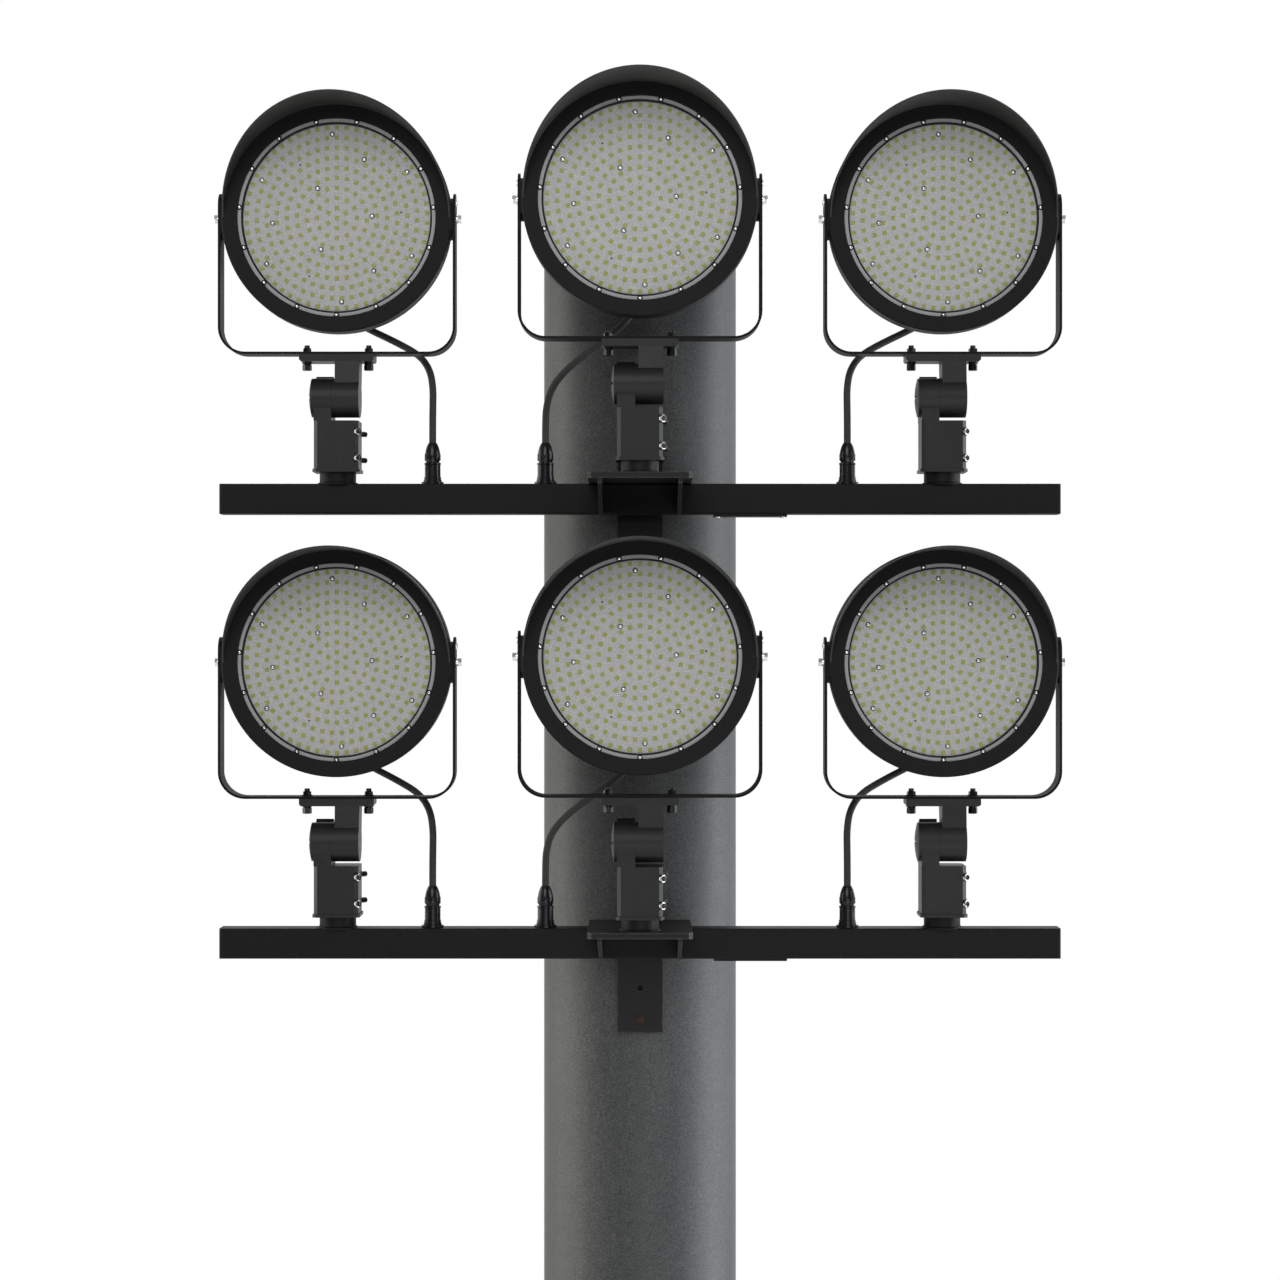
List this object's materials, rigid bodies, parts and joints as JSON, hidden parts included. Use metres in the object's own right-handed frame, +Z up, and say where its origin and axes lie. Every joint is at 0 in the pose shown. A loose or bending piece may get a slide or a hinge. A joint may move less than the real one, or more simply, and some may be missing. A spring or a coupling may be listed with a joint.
{
  "type": "floodlight mast",
  "caption": "Tall steel column with crossarms that carry round LED floodlights, each on a yoke and a tilting slip fitter.",
  "frame": {"origin": "centre of the base plate's underside, on the column's axis at ground level", "axes": "+Z up along the column, -Y towards the pitch, where the lamps shine, and +X along the crossarms"},
  "size_m": [1.391, 0.763, 8.1574],
  "materials": {
    "galvanised_steel": "dull galvanised",
    "cap_steel": "satin paint",
    "base_steel": "dull galvanised",
    "arm_steel": "satin powder coat",
    "end_cap_plastic": "matte",
    "connector_plastic": "matte",
    "fitter_casting": "textured powder coat",
    "yoke_steel": "satin powder coat",
    "head_casting": "textured powder coat",
    "visor_sheet": "satin powder coat",
    "ring_metal": "satin",
    "board_white": "fine speckle",
    "cable_rubber": "matte"
  },
  "bodies": {
    "root": {"column": "galvanised_steel", "column_cap": "cap_steel", "base_flange": "base_steel", "service_cover": "base_steel", "crossarm_end_caps": "end_cap_plastic", "wiring_covers": "arm_steel", "upper_crossarm": "arm_steel", "upper_centre_bracket": "arm_steel", "upper_connectors": "connector_plastic", "lower_crossarm": "arm_steel", "lower_centre_bracket": "arm_steel", "lower_connectors": "connector_plastic", "upper_left_cable": "cable_rubber", "upper_centre_cable": "cable_rubber", "upper_right_cable": "cable_rubber", "lower_left_cable": "cable_rubber", "lower_centre_cable": "cable_rubber", "lower_right_cable": "cable_rubber"},
    "upper_left_swivel": {"upper_left_slip_fitter": "fitter_casting"},
    "upper_left_bracket": {"upper_left_knuckle_head": "fitter_casting", "upper_left_yoke": "yoke_steel"},
    "upper_left_lamp": {"upper_left_housing": "head_casting", "upper_left_visor": "visor_sheet", "upper_left_lens_ring": "ring_metal", "upper_left_led_board": "board_white"},
    "upper_centre_swivel": {"upper_centre_slip_fitter": "fitter_casting"},
    "upper_centre_bracket": {"upper_centre_knuckle_head": "fitter_casting", "upper_centre_yoke": "yoke_steel"},
    "upper_centre_lamp": {"upper_centre_housing": "head_casting", "upper_centre_visor": "visor_sheet", "upper_centre_lens_ring": "ring_metal", "upper_centre_led_board": "board_white"},
    "upper_right_swivel": {"upper_right_slip_fitter": "fitter_casting"},
    "upper_right_bracket": {"upper_right_knuckle_head": "fitter_casting", "upper_right_yoke": "yoke_steel"},
    "upper_right_lamp": {"upper_right_housing": "head_casting", "upper_right_visor": "visor_sheet", "upper_right_lens_ring": "ring_metal", "upper_right_led_board": "board_white"},
    "lower_left_swivel": {"lower_left_slip_fitter": "fitter_casting"},
    "lower_left_bracket": {"lower_left_knuckle_head": "fitter_casting", "lower_left_yoke": "yoke_steel"},
    "lower_left_lamp": {"lower_left_housing": "head_casting", "lower_left_visor": "visor_sheet", "lower_left_lens_ring": "ring_metal", "lower_left_led_board": "board_white"},
    "lower_centre_swivel": {"lower_centre_slip_fitter": "fitter_casting"},
    "lower_centre_bracket": {"lower_centre_knuckle_head": "fitter_casting", "lower_centre_yoke": "yoke_steel"},
    "lower_centre_lamp": {"lower_centre_housing": "head_casting", "lower_centre_visor": "visor_sheet", "lower_centre_lens_ring": "ring_metal", "lower_centre_led_board": "board_white"},
    "lower_right_swivel": {"lower_right_slip_fitter": "fitter_casting"},
    "lower_right_bracket": {"lower_right_knuckle_head": "fitter_casting", "lower_right_yoke": "yoke_steel"},
    "lower_right_lamp": {"lower_right_housing": "head_casting", "lower_right_visor": "visor_sheet", "lower_right_lens_ring": "ring_metal", "lower_right_led_board": "board_white"}
  },
  "joints": [
    {"name": "upper_left_aim", "type": "hinge", "parent": "root", "child": "upper_left_swivel", "pos_m": [-0.5, -0.2, 7.58], "axis": [0, 0, 1], "range_deg": [-30, 30]},
    {"name": "upper_left_knuckle", "type": "hinge", "parent": "upper_left_swivel", "child": "upper_left_bracket", "pos_m": [-0.5, -0.21, 7.662], "axis": [1, 0, 0], "range_deg": [-20, 45], "deforming": ["upper_left_cable"]},
    {"name": "upper_left_tilt", "type": "hinge", "parent": "upper_left_bracket", "child": "upper_left_lamp", "pos_m": [-0.5, -0.2, 7.9584], "axis": [1, 0, 0], "range_deg": [-15, 60]},
    {"name": "upper_centre_aim", "type": "hinge", "parent": "root", "child": "upper_centre_swivel", "pos_m": [0, -0.355, 7.59], "axis": [0, 0, 1], "range_deg": [-30, 30]},
    {"name": "upper_centre_knuckle", "type": "hinge", "parent": "upper_centre_swivel", "child": "upper_centre_bracket", "pos_m": [0, -0.365, 7.672], "axis": [1, 0, 0], "range_deg": [-5, 45], "deforming": ["upper_centre_cable"]},
    {"name": "upper_centre_tilt", "type": "hinge", "parent": "upper_centre_bracket", "child": "upper_centre_lamp", "pos_m": [0, -0.355, 7.9684], "axis": [1, 0, 0], "range_deg": [-15, 60]},
    {"name": "upper_right_aim", "type": "hinge", "parent": "root", "child": "upper_right_swivel", "pos_m": [0.5, -0.2, 7.58], "axis": [0, 0, 1], "range_deg": [-30, 30]},
    {"name": "upper_right_knuckle", "type": "hinge", "parent": "upper_right_swivel", "child": "upper_right_bracket", "pos_m": [0.5, -0.21, 7.662], "axis": [1, 0, 0], "range_deg": [-20, 45], "deforming": ["upper_right_cable"]},
    {"name": "upper_right_tilt", "type": "hinge", "parent": "upper_right_bracket", "child": "upper_right_lamp", "pos_m": [0.5, -0.2, 7.9584], "axis": [1, 0, 0], "range_deg": [-15, 60]},
    {"name": "lower_left_aim", "type": "hinge", "parent": "root", "child": "lower_left_swivel", "pos_m": [-0.5, -0.2, 6.847], "axis": [0, 0, 1], "range_deg": [-30, 30]},
    {"name": "lower_left_knuckle", "type": "hinge", "parent": "lower_left_swivel", "child": "lower_left_bracket", "pos_m": [-0.5, -0.21, 6.929], "axis": [1, 0, 0], "range_deg": [-20, 45], "deforming": ["lower_left_cable"]},
    {"name": "lower_left_tilt", "type": "hinge", "parent": "lower_left_bracket", "child": "lower_left_lamp", "pos_m": [-0.5, -0.2, 7.2254], "axis": [1, 0, 0], "range_deg": [-15, 60]},
    {"name": "lower_centre_aim", "type": "hinge", "parent": "root", "child": "lower_centre_swivel", "pos_m": [0, -0.355, 6.857], "axis": [0, 0, 1], "range_deg": [-30, 30]},
    {"name": "lower_centre_knuckle", "type": "hinge", "parent": "lower_centre_swivel", "child": "lower_centre_bracket", "pos_m": [0, -0.365, 6.939], "axis": [1, 0, 0], "range_deg": [-5, 45], "deforming": ["lower_centre_cable"]},
    {"name": "lower_centre_tilt", "type": "hinge", "parent": "lower_centre_bracket", "child": "lower_centre_lamp", "pos_m": [0, -0.355, 7.2354], "axis": [1, 0, 0], "range_deg": [-15, 60]},
    {"name": "lower_right_aim", "type": "hinge", "parent": "root", "child": "lower_right_swivel", "pos_m": [0.5, -0.2, 6.847], "axis": [0, 0, 1], "range_deg": [-30, 30]},
    {"name": "lower_right_knuckle", "type": "hinge", "parent": "lower_right_swivel", "child": "lower_right_bracket", "pos_m": [0.5, -0.21, 6.929], "axis": [1, 0, 0], "range_deg": [-20, 45], "deforming": ["lower_right_cable"]},
    {"name": "lower_right_tilt", "type": "hinge", "parent": "lower_right_bracket", "child": "lower_right_lamp", "pos_m": [0.5, -0.2, 7.2254], "axis": [1, 0, 0], "range_deg": [-15, 60]}
  ]
}
